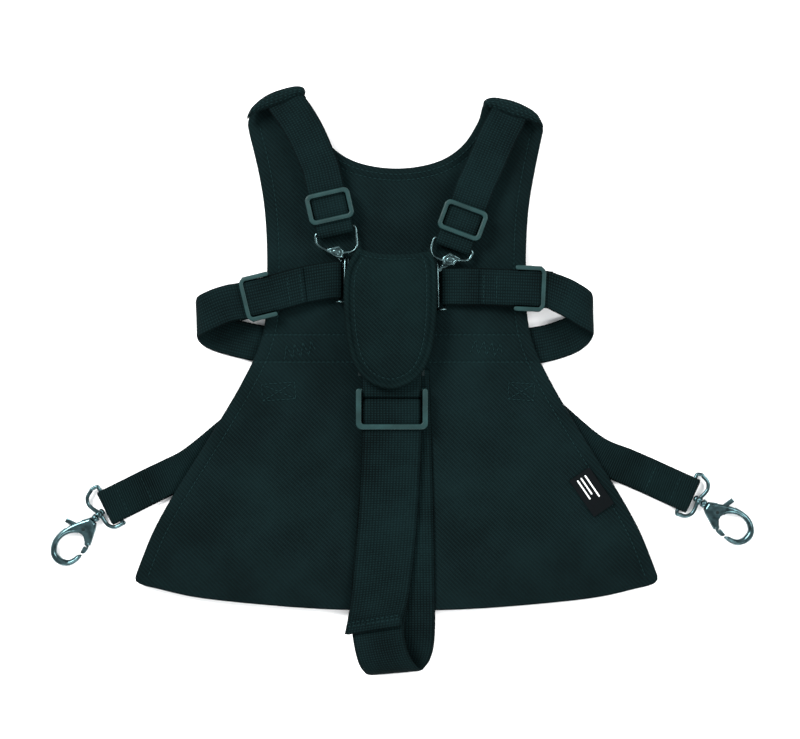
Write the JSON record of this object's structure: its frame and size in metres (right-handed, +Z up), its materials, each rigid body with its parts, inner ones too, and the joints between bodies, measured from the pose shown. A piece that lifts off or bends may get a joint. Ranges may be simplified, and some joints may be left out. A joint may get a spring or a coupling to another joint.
{
  "type": "child vest harness",
  "caption": "Padded A-line vest harness laid flat, with shoulder, waist and crotch straps meeting at a covered push-button buckle and two tether straps with swivel snap hooks.",
  "frame": {"origin": "middle of the back face of the waist casing, the surface the harness lies on", "axes": "+X to the right of the vest as it lies seen from above, +Y towards the neckline, +Z up out of the front of the vest"},
  "size_m": [0.4671, 0.3896, 0.0234],
  "materials": {
    "bib_twill": "matte black cotton twill",
    "webbing": "black polypropylene webbing",
    "pad_fabric": "matte black twill over foam",
    "foam": "dark polyurethane foam",
    "black_plastic": "moulded black acetal, satin",
    "steel": "satin steel",
    "chrome": "dark polished nickel plate",
    "label_tape": "smooth black woven label tape"
  },
  "bodies": {
    "vest": {"panel_front_shell": "bib_twill", "panel_padding": "foam", "panel_back_lining": "bib_twill", "neck_facing": "bib_twill", "left_side_facing": "bib_twill", "right_side_facing": "bib_twill", "waist_casing": "bib_twill", "left_shoulder_tab": "bib_twill", "right_shoulder_tab": "bib_twill", "left_shoulder_strap": "webbing", "right_shoulder_strap": "webbing", "left_shoulder_ring": "steel", "right_shoulder_ring": "steel", "left_waist_belt": "webbing", "right_waist_belt": "webbing", "left_waist_slider": "black_plastic", "right_waist_slider": "black_plastic", "left_waist_connector": "webbing", "right_waist_connector": "webbing", "left_tongue": "steel", "right_tongue": "steel", "buckle_base": "black_plastic", "buckle_cover": "black_plastic", "left_buckle_screw": "steel", "right_buckle_screw": "steel", "button_spring": "steel", "crotch_slider": "black_plastic", "crotch_strap": "webbing", "crotch_connector": "webbing", "blank_label": "label_tape", "left_tether_sewn_end": "webbing", "right_tether_sewn_end": "webbing"},
    "left_slider": {"left_shoulder_slider": "black_plastic"},
    "right_slider": {"right_shoulder_slider": "black_plastic"},
    "cover_pad": {"cover_pad_face": "pad_fabric", "cover_pad_foam": "foam", "cover_pad_backing": "pad_fabric", "cover_pad_binding": "pad_fabric"},
    "release": {"release_button": "black_plastic", "latch_plate": "steel"},
    "left_tether": {"left_tether_strap": "webbing"},
    "right_tether": {"right_tether_strap": "webbing"},
    "left_ring": {"left_tether_ring": "chrome"},
    "right_ring": {"right_tether_ring": "chrome"},
    "left_hook": {"left_hook_body": "chrome", "left_swivel_stud": "chrome", "left_gate_pin": "chrome", "left_gate_spring": "steel"},
    "right_hook": {"right_hook_body": "chrome", "right_swivel_stud": "chrome", "right_gate_pin": "chrome", "right_gate_spring": "steel"},
    "left_gate": {"left_gate": "chrome"},
    "right_gate": {"right_gate": "chrome"}
  },
  "joints": [
    {"name": "left_slider_adjust", "type": "slide", "parent": "vest", "child": "left_slider", "axis": [-0.2198, 0.9755, 0], "range_m": [-0.003, 0.01]},
    {"name": "right_slider_adjust", "type": "slide", "parent": "vest", "child": "right_slider", "axis": [0.3486, 0.9373, 0], "range_m": [-0.003, 0.01]},
    {"name": "cover_pad_lift", "type": "hinge", "parent": "vest", "child": "cover_pad", "pos_m": [-0.004, -0.0275, 0.0184], "axis": [1, 0, 0], "range_deg": [0, 110]},
    {"name": "release_press", "type": "slide", "parent": "vest", "child": "release", "axis": [0, 0, -1], "range_m": [0, 0.002], "stiffness_N_per_m": 800, "springref_m": -0.002, "deforming": ["button_spring"]},
    {"name": "left_tether_fold", "type": "hinge", "parent": "vest", "child": "left_tether", "pos_m": [-0.16093, -0.09059, 0.0028], "axis": [-0.4478, 0.8941, 0], "range_deg": [0, 60]},
    {"name": "right_tether_fold", "type": "hinge", "parent": "vest", "child": "right_tether", "pos_m": [0.16416, -0.08229, 0.0028], "axis": [-0.4147, -0.91, 0], "range_deg": [0, 60]},
    {"name": "left_ring_turn", "type": "hinge", "parent": "left_tether", "child": "left_ring", "pos_m": [-0.18953, -0.1035, 0.0029], "axis": [-0.578, 0.816, 0], "range_deg": [0, 80]},
    {"name": "right_ring_turn", "type": "hinge", "parent": "right_tether", "child": "right_ring", "pos_m": [0.19189, -0.09614, 0.0029], "axis": [-0.4809, -0.8768, 0], "range_deg": [0, 80]},
    {"name": "left_hook_swivel", "type": "hinge", "parent": "left_ring", "child": "left_hook", "pos_m": [-0.2003, -0.1139, 0.0029], "axis": [-0.7193, -0.6947, 0], "continuous": true},
    {"name": "right_hook_swivel", "type": "hinge", "parent": "right_ring", "child": "right_hook", "pos_m": [0.2043, -0.1042, 0.0029], "axis": [0.8387, -0.5446, 0], "continuous": true},
    {"name": "left_gate_open", "type": "hinge", "parent": "left_hook", "child": "left_gate", "pos_m": [-0.20749, -0.12085, 0.0029], "axis": [0, 0, -1], "range_deg": [0, 26], "stiffness_Nm_per_rad": 0.01, "springref_deg": -17.19},
    {"name": "right_gate_open", "type": "hinge", "parent": "right_hook", "child": "right_gate", "pos_m": [0.21269, -0.10965, 0.0029], "axis": [0, 0, 1], "range_deg": [0, 26], "stiffness_Nm_per_rad": 0.01, "springref_deg": -17.19}
  ]
}
